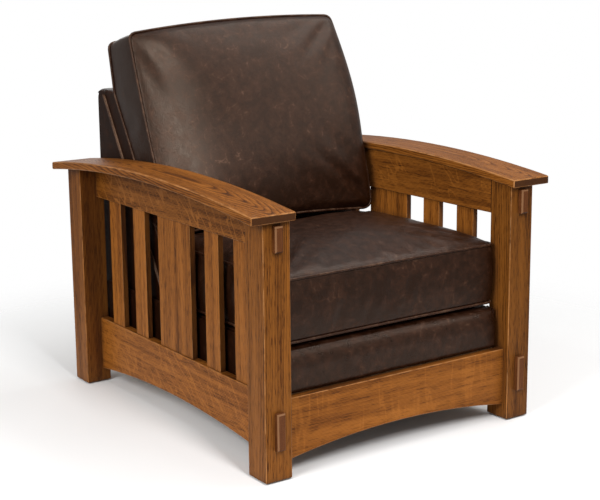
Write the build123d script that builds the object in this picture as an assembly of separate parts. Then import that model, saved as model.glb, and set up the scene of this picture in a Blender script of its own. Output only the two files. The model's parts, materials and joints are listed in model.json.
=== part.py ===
from build123d import *
from math import cos, radians, sin, sqrt, tan
import os

# Lengths are millimetres. X runs across the chair, the front faces -Y and Z is up.
# The origin is on the floor, under the middle of the arms.

# Overall frame
frame_width = 736
frame_depth = 884
post_side = 66
post_ease = 2.5
edge_ease = 1.5
glide_height = 3
glide_diameter = 26

# Arms, a shallow bow from front to back
arm_end_height = 568
arm_rise = 30
arm_thickness = 18
arm_outer_overhang = 36
arm_inner_overhang = 6
arm_end_overhang = 14
arm_ease = 2.2
dowel_diameter = 10
dowel_in_post = 35
dowel_in_arm = 11

# Rails and their joints
rail_thickness = 22
low_rail_top = 170
low_rail_bottom = 36
low_rail_rise = 26
upper_rail_drop = 86
end_rail_recess = 15
stub_length = 28
stub_thickness = 10
stub_shoulder = 10

# Slats
slat_width = 58
wide_slat_width = 146
slat_thickness = 14
slat_housing = 12
slats_each_side = 2

# Raised tenon ends on the front posts
key_width = 20
upper_key_height = 54
lower_key_height = 80
key_stand = 12
key_depth = 13
key_chamfer = 3
upper_key_drop = 53
lower_key_middle = 111

# Seat box
seat_side_gap = 12
seat_front_recess = 40
seat_to_back = 331
seat_board = 20
seat_box_bottom = 148
seat_box_height = 98
ear_reach = 52
ear_round = 24
cleat_width = 30
cleat_height = 22
corner_block_leg = 60
screw_diameter = 5
screw_length = 34
screw_head = 9
screw_head_height = 3
cloth = 1.5
board_screw_shares = (0.14, 0.8)

# Webbing under the seat and behind the back
strap_width = 50
strap_thickness = 2.4
strap_margin = 5
fore_straps = 5
cross_straps = 4
back_straps = 5

# Seat upholstery
deck_top = 266
deck_band_top = 262
deck_band_depth = 10
deck_band_puff = 3
deck_band_round = 15
deck_band_bottom = 170.5
deck_band_side_gap = 5
side_panel = 7
side_panel_recess = 42

# Recline hardware
pivot_behind_seat = 30
pivot_z = 225
pin_diameter = 10
pin_head = 16
pin_head_height = 3
pin_in_board = 14
plate = 4
plate_width = 26
base_reach = 66
arm_reach = 122
base_hub = 28
arm_hub = 17
tooth_depth = 2
tooth_pitch_degrees = 5
tooth_count = 7
tooth_first_degrees = -35
pawl_distance = 42
pawl_degrees = -8
pawl_hub = 8
pawl_flank = 5
pawl_pin_diameter = 6
plate_screw = 4.5
base_screw_shares = (0.35, 0.75)
arm_screw_shares = (0.6, 0.9)

# Back frame, a wedge with an upright rear face and a sloping front
back_slope = 31
back_side_gap = 12.6
back_top = 748
back_foot = 264
back_rear_recess = 27
back_top_depth = 27
back_skin = 3.3
skin_hang = 10
outside_panel = 4
back_stile_depth = 46
back_strut_depth = 22
back_rail_height = 40
back_rail_thickness = 18
back_base = 12
back_base_lift = 4
pad_thickness = 51
pad_foot = 352
pad_lip = 7
pad_cap = 10
pad_round = 14

# Loose cushions
seat_cushion_recess = 46
seat_cushion_behind = 2
seat_cushion_side_gap = 5
seat_welt_low = 278
seat_welt_high = 412
seat_crown = 24
seat_shoulder = 50
back_cushion_side_gap = 8
back_cushion_foot = 432
back_cushion_foot_reach = 27
back_cushion_front_top = 889
back_cushion_top_reach = 155
back_cushion_rear_top = 846
back_cushion_rear_gap = 63
back_cushion_crown = 36
back_cushion_hollow = 14
back_cushion_arch = 8
cushion_draw = 4
boxing_bow = 2.5
corner_bow = 5
shoulder_share = 0.8
end_swell_share = 0.15
station_shares = (-1, -0.95, -0.82, -0.6, -0.3, 0, 0.3, 0.6, 0.82, 0.95, 1)
swell_shares = (0, 0.3, 0.65, 0.9, 0.98, 1, 0.98, 0.9, 0.65, 0.3, 0)

# Clearances and overrun
glue_gap = 0.1
running_gap = 0.05
soft_gap = 0.3
plate_gap = 0.3
overrun = 6
bend_share = 0.7071
right_angle = 90

# Worked out from the sizes above
half_width = frame_width / 2
half_depth = frame_depth / 2
inner_half = half_width - post_side
inner_depth = half_depth - post_side
post_x = half_width - post_side / 2
post_y = half_depth - post_side / 2
arm_half_length = half_depth + arm_end_overhang
arm_radius = (arm_half_length**2 + arm_rise**2) / (2 * arm_rise)
arm_centre_z = arm_end_height + arm_rise - arm_radius
rail_middle_x = inner_half + rail_thickness / 2
end_rail_y = half_depth - end_rail_recess - rail_thickness / 2
back_tan = tan(radians(back_slope))
upper_rail_bottom = arm_end_height - upper_rail_drop
upper_key_middle = arm_end_height - upper_key_drop
back_rear = half_depth - back_rear_recess
back_front_top = back_rear - back_top_depth
back_half_width = inner_half - back_side_gap
seat_half_width = inner_half - seat_side_gap
seat_front = half_depth - seat_front_recess
seat_back = back_rear - seat_to_back
deck_band_half_width = inner_half - deck_band_side_gap
side_panel_end = half_depth - side_panel_recess
pivot_y = seat_back + pivot_behind_seat
seat_cushion_front = half_depth - seat_cushion_recess
seat_cushion_back = seat_back + seat_cushion_behind
seat_cushion_half_width = inner_half - seat_cushion_side_gap
back_cushion_foot_front = seat_back - back_cushion_foot_reach
back_cushion_front_reach = seat_back + back_cushion_top_reach
back_cushion_rear_reach = back_rear - back_cushion_rear_gap
back_cushion_half_width = inner_half - back_cushion_side_gap
back_cos = cos(radians(back_slope))


def block(x0, x1, y0, y1, z0, z1):
    return Pos((x0 + x1) / 2, (y0 + y1) / 2, (z0 + z1) / 2) * Box(x1 - x0, y1 - y0, z1 - z0)


def outline(points):
    return make_face(Polyline(*points, close=True))


def pushed_x(face, x0, x1):
    return Pos(x0, 0, 0) * extrude(Plane.YZ * face, x1 - x0, dir=(1, 0, 0))


def pushed_y(face, y0, y1):
    return Pos(0, y0, 0) * extrude(Plane.XZ * face, y1 - y0, dir=(0, 1, 0))


def other_side(solid):
    return mirror(solid, about=Plane.YZ)


def write(solid, name):
    export_step(solid, "parts/" + name + ".step")


def arm_arc_z(y, depth):
    return arm_centre_z + sqrt((arm_radius - depth) ** 2 - y**2)


def under_arm(reach):
    low = ThreePointArc(
        (-reach, arm_arc_z(reach, arm_thickness)),
        (0, arm_arc_z(0, arm_thickness)),
        (reach, arm_arc_z(reach, arm_thickness)),
    )
    sides = Polyline(low @ 1, (reach, -overrun), (-reach, -overrun), low @ 0)
    return pushed_x(make_face([low, *sides.edges()]), -half_width, half_width)


# Posts, mortised for the rails, keyed at the front and coped to the underside of the arms
def stub_mortises(front):
    middle_y = -inner_depth if front else inner_depth
    wide = stub_thickness / 2 + glue_gap
    reach = stub_length + glue_gap
    cuts = []
    for low, high in (side_stub_span(), upper_stub_span()):
        cuts.append(
            block(
                rail_middle_x - wide, rail_middle_x + wide, middle_y - reach, middle_y + reach, low, high
            )
        )
    low, high = side_stub_span()
    rail_y = -end_rail_y if front else end_rail_y
    cuts.append(
        block(inner_half - reach, inner_half + reach, rail_y - wide, rail_y + wide, low, high)
    )
    return cuts


def side_stub_span():
    return (
        low_rail_bottom + stub_shoulder - glue_gap,
        low_rail_top - stub_shoulder + glue_gap,
    )


def upper_stub_span():
    return (
        upper_rail_bottom + stub_shoulder - glue_gap,
        arm_arc_z(inner_depth + stub_length, arm_thickness) - stub_shoulder + glue_gap,
    )


def right_post(front):
    middle_y = -post_y if front else post_y
    height = arm_arc_z(0, arm_thickness) - glide_height
    body = Pos(post_x, middle_y, glide_height + height / 2) * Box(post_side, post_side, height)
    body = fillet(body.edges().filter_by(Axis.Z), post_ease)
    body = chamfer(body.edges().group_by(Axis.Z)[0], edge_ease)
    for cut in stub_mortises(front):
        body -= cut
    if front:
        for low, high in key_spans():
            wide = key_width / 2 + glue_gap
            body -= block(
                post_x - wide,
                post_x + wide,
                -half_depth - overrun,
                -half_depth + key_depth + glue_gap,
                low - glue_gap,
                high + glue_gap,
            )
    body -= dowel_at(middle_y, glue_gap)
    return body & under_arm(half_depth + overrun)


def key_spans():
    return (
        (upper_key_middle - upper_key_height / 2, upper_key_middle + upper_key_height / 2),
        (lower_key_middle - lower_key_height / 2, lower_key_middle + lower_key_height / 2),
    )


def dowel_at(y, gap):
    seat = arm_arc_z(post_y, arm_thickness)
    low = seat - dowel_in_post - gap
    high = seat + dowel_in_arm + gap
    pin = Cylinder(dowel_diameter / 2 + gap, high - low)
    return Pos(post_x, y, (low + high) / 2) * pin


def make_posts():
    for front, name in ((True, "front"), (False, "rear")):
        post = right_post(front)
        write(post, name + "_right_post")
        write(other_side(post), name + "_left_post")
    keys = []
    for low, high in key_spans():
        key = block(
            post_x - key_width / 2,
            post_x + key_width / 2,
            -half_depth - key_stand,
            -half_depth + key_depth,
            low,
            high,
        )
        key = chamfer(key.faces().sort_by(Axis.Y)[0].edges(), key_chamfer)
        keys += [key, other_side(key)]
    write(Compound(children=keys), "tenon_keys")
    glide = Pos(post_x, post_y, glide_height / 2) * Cylinder(glide_diameter / 2, glide_height)
    glides = [Pos(-2 * x, -2 * y, 0) * glide for x in (0, post_x) for y in (0, post_y)]
    write(Compound(children=glides), "floor_glides")
    dowels = []
    for y in (-post_y, post_y):
        pin = dowel_at(y, 0)
        dowels += [pin, other_side(pin)]
    write(Compound(children=dowels), "arm_dowels")


# Arms, bowed boards that overhang the posts
def make_arms():
    top = ThreePointArc(
        (-arm_half_length, arm_end_height),
        (0, arm_end_height + arm_rise),
        (arm_half_length, arm_end_height),
    )
    low_end = arm_arc_z(arm_half_length, arm_thickness)
    low = ThreePointArc(
        (arm_half_length, low_end), (0, arm_arc_z(0, arm_thickness)), (-arm_half_length, low_end)
    )
    ends = [Line(top @ 1, low @ 0), Line(low @ 1, top @ 0)]
    board = pushed_x(
        make_face([top, low, *ends]), inner_half - arm_inner_overhang, half_width + arm_outer_overhang
    )
    board = chamfer(board.edges(), arm_ease)
    for y in (-post_y, post_y):
        board -= dowel_at(y, glue_gap)
    write(board, "right_arm")
    write(other_side(board), "left_arm")


# Rails, with stub tenons at both ends
def arched_board(half_length):
    low = ThreePointArc(
        (-half_length, low_rail_bottom),
        (0, low_rail_bottom + low_rail_rise),
        (half_length, low_rail_bottom),
    )
    frame = Polyline(
        low @ 1, (half_length, low_rail_top), (-half_length, low_rail_top), low @ 0
    )
    return make_face([low, *frame.edges()])


def long_edges(board, end_axis, reach):
    # Edges that run along the board, the arched ones among them
    return [
        e
        for e in board.edges()
        if abs((e @ 0).dot(Vector(end_axis)) - (e @ 1).dot(Vector(end_axis))) > reach
    ]


def make_low_rails():
    low, high = side_stub_span()
    low += glue_gap
    high -= glue_gap
    half_stub = stub_thickness / 2
    side = pushed_x(arched_board(inner_depth), inner_half, inner_half + rail_thickness)
    side = chamfer(long_edges(side, (0, 1, 0), inner_depth), edge_ease)
    for end in (-inner_depth, inner_depth):
        away = stub_length if end > 0 else -stub_length
        side += block(
            rail_middle_x - half_stub, rail_middle_x + half_stub, *sorted((end, end + away)), low, high
        )
    for cut in slat_housings(low_rail_top - slat_housing, low_rail_top + overrun):
        side -= cut
    write(side, "right_lower_rail")
    write(other_side(side), "left_lower_rail")
    front = pushed_y(arched_board(inner_half), -rail_thickness / 2, rail_thickness / 2)
    front = chamfer(long_edges(front, (1, 0, 0), inner_half), edge_ease)
    for end in (-inner_half, inner_half):
        away = stub_length if end > 0 else -stub_length
        front += block(*sorted((end, end + away)), -half_stub, half_stub, low, high)
    write(Pos(0, -end_rail_y, 0) * front, "front_rail")
    write(Pos(0, end_rail_y, 0) * front, "rear_rail")


def make_upper_rails():
    low, high = upper_stub_span()
    low += glue_gap
    high -= glue_gap
    half_stub = stub_thickness / 2
    board = block(
        inner_half,
        inner_half + rail_thickness,
        -inner_depth,
        inner_depth,
        upper_rail_bottom,
        arm_end_height + arm_rise,
    )
    bottom = board.edges().group_by(Axis.Z)[0].filter_by(Axis.Y)
    board = fillet(bottom, edge_ease)
    for end in (-inner_depth, inner_depth):
        away = stub_length if end > 0 else -stub_length
        board += block(
            rail_middle_x - half_stub, rail_middle_x + half_stub, *sorted((end, end + away)), low, high
        )
    board = board & under_arm(half_depth)
    for cut in slat_housings(upper_rail_bottom - overrun, upper_rail_bottom + slat_housing):
        board -= cut
    write(board, "right_upper_rail")
    write(other_side(board), "left_upper_rail")


# Slats, two narrow ones each side of a wide one, with even gaps
def slat_places():
    narrow = slats_each_side + slats_each_side
    gap = (2 * inner_depth - narrow * slat_width - wide_slat_width) / (narrow + 2)
    first = wide_slat_width / 2 + gap + slat_width / 2
    places = [(0, wide_slat_width)]
    for step in range(slats_each_side):
        y = first + step * (slat_width + gap)
        places += [(-y, slat_width), (y, slat_width)]
    return sorted(places)


def slat_housings(low, high):
    thick = slat_thickness / 2 + glue_gap
    return [
        block(
            rail_middle_x - thick,
            rail_middle_x + thick,
            y - width / 2 - glue_gap,
            y + width / 2 + glue_gap,
            low,
            high,
        )
        for y, width in slat_places()
    ]


def make_slats():
    low = low_rail_top - slat_housing
    high = upper_rail_bottom + slat_housing
    number = 0
    for y, width in slat_places():
        slat = Pos(rail_middle_x, y, (low + high) / 2) * Box(slat_thickness, width, high - low)
        slat = fillet(slat.edges().filter_by(Axis.Z), edge_ease)
        if width == wide_slat_width:
            name = "wide_slat"
        else:
            number += 1
            name = "slat_" + str(number)
        write(slat, "right_" + name)
        write(other_side(slat), "left_" + name)


# Seat box: four boards on cleats, with corner blocks, webbing and a cloth underneath
seat_box_top = seat_box_bottom + seat_box_height
board_inner_x = seat_half_width - seat_board
ear_end = seat_back + ear_reach


def seat_board_screws():
    # Pan head screws that hold the right side board down on its cleat
    low = seat_box_bottom - cleat_height
    screws = []
    for share in board_screw_shares:
        y = -seat_front + (ear_end + seat_front) * share
        shank = Pos(0, 0, screw_length / 2) * Cylinder(screw_diameter / 2, screw_length)
        head = Pos(0, 0, -screw_head_height / 2) * Cylinder(screw_head / 2, screw_head_height)
        screws.append(Pos((board_inner_x + seat_half_width) / 2, y, low) * (shank + head))
    return screws


def make_seat_boards():
    side = block(
        board_inner_x, seat_half_width, -seat_front, ear_end, seat_box_bottom, seat_box_top
    )
    nose = side.edges().filter_by(Axis.X).group_by(Axis.Y)[-1]
    side = fillet(nose, ear_round)
    screws = seat_board_screws()
    side -= pivot_pin(pin_in_board, running_gap)
    for screw in screws + base_plate_screws():
        side -= screw
    write(side, "seat_right_board")
    write(other_side(side), "seat_left_board")
    front = block(
        -board_inner_x, board_inner_x, -seat_front, -seat_front + seat_board, seat_box_bottom, seat_box_top
    )
    write(front, "seat_front_board")
    rear = block(
        -board_inner_x, board_inner_x, seat_back - seat_board, seat_back, seat_box_bottom, seat_box_top
    )
    write(rear, "seat_rear_board")


def make_corner_blocks():
    leg = corner_block_leg
    high = seat_box_height - leg / 2
    blocks = []
    for y, away in ((-seat_front + seat_board, leg), (seat_back - seat_board, -leg)):
        corner = outline([(board_inner_x, y), (board_inner_x - leg, y), (board_inner_x, y + away)])
        wedge = Pos(0, 0, seat_box_bottom) * extrude(corner, high, dir=(0, 0, 1))
        blocks += [wedge, other_side(wedge)]
    write(Compound(children=blocks), "seat_corner_blocks")


def make_cleats():
    cleat = block(
        inner_half - cleat_width,
        inner_half,
        -seat_front,
        side_panel_end,
        seat_box_bottom - cleat_height,
        seat_box_bottom,
    )
    screws = seat_board_screws()
    for screw in screws:
        cleat -= screw
    write(Compound(children=[cleat, other_side(cleat)]), "seat_cleats")
    write(Compound(children=screws + [other_side(s) for s in screws]), "seat_screws")


def strap_middles(count, low, high):
    pitch = (high - low) / count
    return [low + pitch * (2 * n + 1) / 2 for n in range(count)]


def make_seat_webbing():
    straps = []
    for x in strap_middles(fore_straps, -board_inner_x, board_inner_x):
        straps.append(
            block(
                x - strap_width / 2,
                x + strap_width / 2,
                -seat_front + strap_margin,
                seat_back - strap_margin,
                seat_box_top,
                seat_box_top + strap_thickness,
            )
        )
    across = seat_half_width - strap_margin
    for y in strap_middles(cross_straps, -seat_front + seat_board, seat_back - seat_board):
        straps.append(
            block(
                -across,
                across,
                y - strap_width / 2,
                y + strap_width / 2,
                seat_box_top + strap_thickness,
                seat_box_top + 2 * strap_thickness,
            )
        )
    write(Compound(children=straps), "seat_webbing")


# Seat upholstery: the padded deck, its front band and the side panels
def make_deck():
    deck_low = seat_box_top + 2 * strap_thickness
    write(
        block(-seat_half_width, seat_half_width, -seat_front, seat_back, deck_low, deck_top), "deck_pad"
    )
    front_y = -seat_front - deck_band_depth
    middle_z = (deck_band_bottom + deck_band_top - deck_band_round) / 2
    rise = Polyline(
        (front_y, deck_band_bottom), (-seat_front, deck_band_bottom), (-seat_front, deck_band_top)
    )
    crest = ThreePointArc(
        rise @ 1,
        (
            front_y + deck_band_depth * (1 - bend_share),
            deck_band_top - deck_band_round * (1 - bend_share),
        ),
        (front_y, deck_band_top - deck_band_round),
    )
    puff = ThreePointArc(
        crest @ 1, (front_y - deck_band_puff, middle_z), (front_y, deck_band_bottom)
    )
    band = pushed_x(
        make_face([*rise.edges(), crest, puff]), -deck_band_half_width, deck_band_half_width
    )
    write(band, "deck_front_band")
    panel = block(
        seat_half_width,
        seat_half_width + side_panel,
        -seat_front,
        side_panel_end,
        seat_box_bottom,
        deck_band_top,
    )
    top_edge = panel.edges().filter_by(Axis.Y).group_by(Axis.Z)[-1].sort_by(Axis.X)[-1]
    panel = fillet(top_edge, side_panel / 2)
    write(panel, "right_side_panel")
    write(other_side(panel), "left_side_panel")
    hem = inner_half - cleat_width
    write(block(-hem, hem, -seat_front, seat_back, seat_box_bottom - cloth, seat_box_bottom), "dust_cover")


# Recline hardware: toothed base plates on the seat box, arms with pawls on the back
plate_outer_x = board_inner_x
plate_inner_x = board_inner_x - plate
arm_outer_x = plate_inner_x - plate_gap
arm_inner_x = arm_outer_x - plate


def disc(y, z, radius, x0, x1):
    turn = Rot(0, right_angle, 0) * Cylinder(radius, x1 - x0)
    return Pos((x0 + x1) / 2, y, z) * turn


def about_pivot(distance, angle):
    # A point given by its distance and its angle up from straight back
    turn = radians(angle)
    return pivot_y + distance * cos(turn), pivot_z + distance * sin(turn)


def pivot_pin(reach, gap):
    head_x = arm_inner_x - plate_gap - pin_head_height
    return disc(pivot_y, pivot_z, pin_diameter / 2 + gap, head_x, board_inner_x + reach)


def base_plate_screws():
    screws = []
    for share in base_screw_shares:
        z = pivot_z - base_hub - (base_reach - base_hub) * share
        screws.append(disc(pivot_y, z, plate_screw / 2, plate_inner_x - cloth, plate_outer_x + pin_in_board))
    return screws


def make_hinge_bases():
    tip = base_hub + tooth_depth
    face = Circle(base_hub)
    for n in range(tooth_count):
        angle = tooth_first_degrees + n * tooth_pitch_degrees
        half = tooth_pitch_degrees / 2
        corners = []
        for reach, turn in (
            (base_hub - tooth_depth, angle - half),
            (base_hub, angle - half),
            (tip, angle),
            (base_hub, angle + half),
            (base_hub - tooth_depth, angle + half),
        ):
            corners.append((reach * cos(radians(turn)), reach * sin(radians(turn))))
        face += outline(corners)
    face += Pos(0, -base_reach / 2) * Rectangle(plate_width, base_reach)
    plate_solid = Pos(0, pivot_y, pivot_z) * pushed_x(face, plate_inner_x, plate_outer_x)
    plate_solid -= pivot_pin(pin_in_board, running_gap)
    screws = base_plate_screws()
    for screw in screws:
        plate_solid -= screw
    write(plate_solid, "right_hinge_base")
    write(other_side(plate_solid), "left_hinge_base")
    write(Compound(children=screws + [other_side(s) for s in screws]), "base_plate_screws")
    head = disc(
        pivot_y, pivot_z, pin_head / 2, arm_inner_x - plate_gap - pin_head_height, arm_inner_x - plate_gap
    )
    pin = pivot_pin(pin_in_board, 0) + head
    write(Compound(children=[pin, other_side(pin)]), "hinge_pins")


def arm_plate_screws():
    screws = []
    for share in arm_screw_shares:
        y, z = about_pivot(arm_reach * share, right_angle - back_slope)
        screws.append(disc(y, z, plate_screw / 2, arm_inner_x - cloth, arm_outer_x + pin_in_board))
    return screws


def make_hinge_arms():
    y, z = about_pivot(arm_reach / 2, right_angle - back_slope)
    strip = pushed_x(
        Pos(y, z) * Rot(0, 0, -back_slope) * RectangleRounded(plate_width, arm_reach, edge_ease),
        arm_inner_x,
        arm_outer_x,
    )
    lobe_y, lobe_z = about_pivot(pawl_distance, pawl_degrees)
    link = pushed_x(
        Pos(*about_pivot(pawl_distance / 2, pawl_degrees))
        * Rot(0, 0, pawl_degrees)
        * Rectangle(pawl_distance, 2 * pawl_hub),
        arm_inner_x,
        arm_outer_x,
    )
    hub = disc(pivot_y, pivot_z, arm_hub, arm_inner_x, arm_outer_x)
    lobe = disc(lobe_y, lobe_z, pawl_hub, arm_inner_x, arm_outer_x)
    arm = strip + link + hub + lobe
    pawl_pin = disc(lobe_y, lobe_z, pawl_pin_diameter / 2, arm_inner_x, plate_outer_x - plate_gap)
    screws = arm_plate_screws()
    arm -= disc(pivot_y, pivot_z, pin_diameter / 2 + running_gap, arm_inner_x - plate, arm_outer_x)
    for cut in screws + [pawl_pin]:
        arm -= cut
    write(arm, "right_hinge_arm")
    write(other_side(arm), "left_hinge_arm")
    write(Compound(children=screws + [other_side(s) for s in screws]), "arm_plate_screws")
    nose = base_hub + tooth_depth + plate_gap
    corners = []
    for reach, aside in ((nose, 0), (pawl_distance, pawl_flank), (pawl_distance, -pawl_flank)):
        spot = Vector(reach, aside, 0).rotate(Axis.Z, pawl_degrees)
        corners.append((pivot_y + spot.X, pivot_z + spot.Y))
    beak = pushed_x(outline(corners), arm_outer_x, plate_outer_x - plate_gap)
    body = disc(lobe_y, lobe_z, pawl_hub - edge_ease, arm_outer_x, plate_outer_x - plate_gap)
    pawl = body + beak + pawl_pin
    write(Compound(children=[pawl, other_side(pawl)]), "hinge_pawls")


# Back frame, a wedge: sloping stiles and upright struts under a padded front
wedge_rear = back_rear - outside_panel
wedge_top = back_top - pad_cap
stile_outer = back_half_width - back_skin
stile_inner = arm_outer_x
frame_low = back_foot + back_base_lift
strap_step = strap_thickness / back_cos


def slope_y(z):
    return back_front_top - (back_top - z) * back_tan


def sloped(z0, z1, ahead, behind):
    # A strip of the side view that follows the sloping front
    return outline(
        [
            (slope_y(z0) + ahead, z0),
            (slope_y(z1) + ahead, z1),
            (slope_y(z1) + behind, z1),
            (slope_y(z0) + behind, z0),
        ]
    )


def make_back_frame():
    stile_rear = strap_step + back_stile_depth / back_cos
    inside = block(stile_inner, stile_outer, -half_depth, wedge_rear, frame_low, wedge_top)
    stile = pushed_x(sloped(frame_low, wedge_top, strap_step, stile_rear), stile_inner, stile_outer)
    stile = stile & inside
    for screw in arm_plate_screws():
        stile -= screw
    write(stile, "right_back_stile")
    write(other_side(stile), "left_back_stile")
    strut_y = wedge_rear - back_strut_depth
    meet = [back_top - (back_front_top + stile_rear - y) / back_tan for y in (strut_y, wedge_rear)]
    strut = pushed_x(
        outline(
            [(strut_y, frame_low), (wedge_rear, frame_low), (wedge_rear, meet[1]), (strut_y, meet[0])]
        ),
        stile_inner,
        stile_outer,
    )
    write(Compound(children=[strut, other_side(strut)]), "back_struts")
    top_low = wedge_top - back_rail_height
    top_rail = pushed_x(
        outline(
            [
                (slope_y(top_low) + strap_step, top_low),
                (slope_y(wedge_top) + strap_step, wedge_top),
                (wedge_rear, wedge_top),
                (wedge_rear, top_low),
            ]
        ),
        -stile_inner,
        stile_inner,
    )
    write(top_rail, "back_top_rail")
    rail_low = frame_low + back_base
    rail_high = rail_low + back_rail_height
    rail_rear = strap_step + back_rail_thickness / back_cos
    bottom_rail = pushed_x(
        sloped(rail_low, rail_high, strap_step, rail_rear), -stile_inner, stile_inner
    )
    write(bottom_rail, "back_bottom_rail")
    write(block(-stile_inner, stile_inner, strut_y, wedge_rear, rail_low, rail_high), "back_rear_rail")
    base_half = arm_inner_x - cloth - plate_gap
    base_board = pushed_x(
        outline(
            [
                (slope_y(rail_low) + strap_step, frame_low),
                (wedge_rear, frame_low),
                (wedge_rear, rail_low),
                (slope_y(rail_low) + strap_step, rail_low),
            ]
        ),
        -base_half,
        base_half,
    )
    write(base_board, "back_base_board")


def make_back_webbing():
    straps = []
    half = strap_width * back_cos / 2
    for z in strap_middles(back_straps, frame_low + back_base + back_rail_height, wedge_top):
        straps.append(pushed_x(sloped(z - half, z + half, 0, strap_step), -stile_outer, stile_outer))
    write(Compound(children=straps), "back_webbing")


def make_back_covers():
    skin_foot = back_foot - skin_hang
    side = outline(
        [
            (slope_y(skin_foot), skin_foot),
            (wedge_rear, skin_foot),
            (wedge_rear, wedge_top),
            (slope_y(wedge_top), wedge_top),
        ]
    )
    panel = pushed_x(side, stile_outer, back_half_width)
    write(panel, "right_back_side")
    write(other_side(panel), "left_back_side")
    outside = block(
        -back_half_width, back_half_width, wedge_rear, back_rear, back_foot, wedge_top
    )
    write(outside, "outside_back")
    thick = pad_thickness / back_cos
    pad = outline(
        [
            (slope_y(frame_low) - pad_lip, frame_low),
            (slope_y(pad_foot) - pad_lip, pad_foot),
            (slope_y(pad_foot) - thick, pad_foot),
            (slope_y(back_top) - thick, back_top),
            (back_rear, back_top),
            (back_rear, wedge_top),
            (slope_y(wedge_top), wedge_top),
            (slope_y(frame_low), frame_low),
        ]
    )
    pad = pushed_x(pad, -back_half_width, back_half_width)
    crest = pad.edges().filter_by(Axis.X).group_by(Axis.Z)[-1]
    foot = [
        e
        for e in pad.edges().filter_by(Axis.X)
        if abs((e @ 0).Z - pad_foot) < soft_gap and (e @ 0).Y < slope_y(pad_foot) - thick / 2
    ]
    pad = fillet([*crest.sort_by(Axis.Y)[:1], *foot], pad_round)
    pad = fillet(pad.edges().filter_by(Axis.X).group_by(Axis.Z)[-1].sort_by(Axis.Y)[-1], pad_cap / 2)
    write(pad, "back_pad")


# Loose cushions: solids through sections set out across the chair
def bowed(start, end, bow):
    # An arc that bulges by bow to the right of its run, which is outward here
    run_y = end[0] - start[0]
    run_z = end[1] - start[1]
    length = sqrt(run_y**2 + run_z**2)
    middle = (
        (start[0] + end[0]) / 2 + bow * run_z / length,
        (start[1] + end[1]) / 2 - bow * run_y / length,
    )
    return ThreePointArc(start, middle, end)


def swelled(full, swell):
    return full * (end_swell_share + (1 - end_swell_share) * swell)


def seat_section(swell):
    front = -seat_cushion_front + cushion_draw * swell
    back = seat_cushion_back - cushion_draw * swell
    low = seat_welt_low
    high = seat_welt_high
    shoulder = high + swelled(seat_crown * shoulder_share, swell)
    crown = swelled(seat_crown * (1 - shoulder_share), swell)
    round_front = front + seat_shoulder
    round_back = back - seat_shoulder
    return [
        bowed((front, low), (back, low), swelled(seat_welt_low - deck_top - soft_gap, swell)),
        bowed((back, low), (back, high), boxing_bow),
        bowed((back, high), (round_back, shoulder), swelled(corner_bow, swell)),
        bowed((round_back, shoulder), (round_front, shoulder), crown),
        bowed((round_front, shoulder), (front, high), swelled(corner_bow, swell)),
        bowed((front, high), (front, low), boxing_bow),
    ]


def back_section(swell):
    lean = pad_thickness / back_cos + soft_gap / back_cos
    bend_z = back_top - pad_cap
    lift = back_cushion_arch * swell
    foot_front = (back_cushion_foot_front + cushion_draw * (1 - swell), back_cushion_foot)
    foot_rear = (slope_y(back_cushion_foot) - lean, back_cushion_foot)
    bend = (slope_y(bend_z) - lean, bend_z)
    top_rear = (back_cushion_rear_reach, back_cushion_rear_top + lift)
    top_front = (back_cushion_front_reach, back_cushion_front_top + lift)
    front_bow = back_cushion_crown * swell - back_cushion_hollow
    return [
        bowed(foot_front, foot_rear, swelled(boxing_bow, swell)),
        Line(foot_rear, bend),
        bowed(bend, top_rear, swelled(corner_bow, swell)),
        bowed(top_rear, top_front, swelled(corner_bow, swell)),
        bowed(top_front, foot_front, front_bow),
    ]


def cushion(section, half):
    faces = []
    for across_share, swell_share in zip(station_shares, swell_shares):
        face = Plane.YZ * make_face(section(swell_share))
        faces.append(Pos(across_share * half, 0, 0) * face)
    return loft(faces, ruled=True)


os.makedirs("parts", exist_ok=True)
make_posts()
make_arms()
make_low_rails()
make_upper_rails()
make_slats()
make_seat_boards()
make_corner_blocks()
make_cleats()
make_seat_webbing()
make_deck()
make_hinge_bases()
make_hinge_arms()
make_back_frame()
make_back_webbing()
make_back_covers()
write(cushion(seat_section, seat_cushion_half_width), "seat_cushion")
write(cushion(back_section, back_cushion_half_width), "back_cushion")
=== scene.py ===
import json
import math

import bmesh
import bpy
from mathutils import Matrix, Vector, kdtree, noise


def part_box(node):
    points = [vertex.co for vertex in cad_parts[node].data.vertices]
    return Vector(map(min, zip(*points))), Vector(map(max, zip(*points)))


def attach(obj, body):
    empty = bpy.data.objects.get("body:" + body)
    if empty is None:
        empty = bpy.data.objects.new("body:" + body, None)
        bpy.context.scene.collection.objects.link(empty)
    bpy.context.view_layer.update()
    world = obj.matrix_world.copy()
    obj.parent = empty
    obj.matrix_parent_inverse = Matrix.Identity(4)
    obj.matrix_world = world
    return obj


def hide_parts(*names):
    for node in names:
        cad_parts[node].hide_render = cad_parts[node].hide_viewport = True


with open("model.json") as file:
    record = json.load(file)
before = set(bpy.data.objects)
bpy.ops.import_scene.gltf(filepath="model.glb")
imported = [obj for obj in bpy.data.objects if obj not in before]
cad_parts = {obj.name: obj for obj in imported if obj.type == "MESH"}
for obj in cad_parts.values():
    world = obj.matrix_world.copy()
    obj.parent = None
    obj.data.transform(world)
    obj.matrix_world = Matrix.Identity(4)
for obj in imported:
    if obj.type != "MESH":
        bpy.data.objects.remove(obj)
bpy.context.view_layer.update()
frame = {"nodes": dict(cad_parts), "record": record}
nodes = frame["nodes"]
scene = bpy.context.scene
noise.seed_set(5)  # without a seed, noise_vector changes from run to run


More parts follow.
